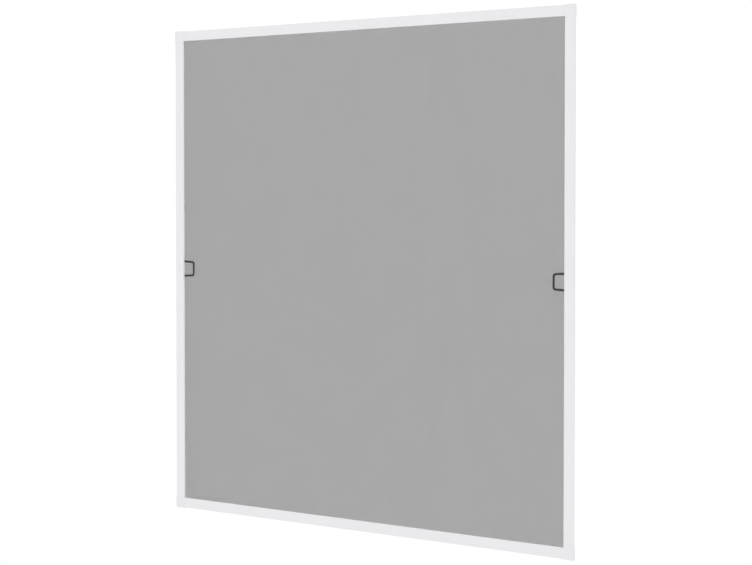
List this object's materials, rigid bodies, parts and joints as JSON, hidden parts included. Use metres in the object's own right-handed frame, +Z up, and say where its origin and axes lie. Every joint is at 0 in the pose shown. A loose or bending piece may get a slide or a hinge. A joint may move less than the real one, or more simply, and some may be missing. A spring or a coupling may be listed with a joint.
{
  "type": "window screen frame",
  "caption": "Flat rectangular insect screen frame for a window: white hollow profiles on corner connectors, grey mesh held by spline cord, dark pull loops and hanging brackets.",
  "frame": {"origin": "centre of the frame, in the plane of the profiles' back faces that lie against the window", "axes": "+Z up along the stiles, +X to the right along the rails as seen from the smooth front, +Y from the front to the back"},
  "size_m": [1.403, 0.0246, 1.503],
  "materials": {
    "profile_coat": "white powder coat on extruded aluminium, satin",
    "corner_plastic": "white moulded plastic, satin",
    "mesh_yarn": "coated glass yarn, plain weave, matt",
    "spline_cord": "soft extruded cord, matt",
    "loop_plastic": "black flexible moulded plastic, satin",
    "bracket_steel": "stainless sheet, bright rolled",
    "screw_steel": "zinc plated"
  },
  "bodies": {
    "root": {"top_rail": "profile_coat", "bottom_rail": "profile_coat", "left_stile": "profile_coat", "right_stile": "profile_coat", "corner_bottom_left": "corner_plastic", "corner_top_left": "corner_plastic", "corner_top_right": "corner_plastic", "corner_bottom_right": "corner_plastic", "insect_mesh": "mesh_yarn", "spline_left": "spline_cord", "spline_top": "spline_cord", "spline_right": "spline_cord", "spline_bottom": "spline_cord", "pull_loop_left": "loop_plastic", "pull_loop_right": "loop_plastic", "bracket_top_left": "bracket_steel", "bracket_top_right": "bracket_steel", "bracket_bottom_left": "bracket_steel", "bracket_bottom_right": "bracket_steel", "bracket_screws": "screw_steel"}
  },
  "joints": []
}
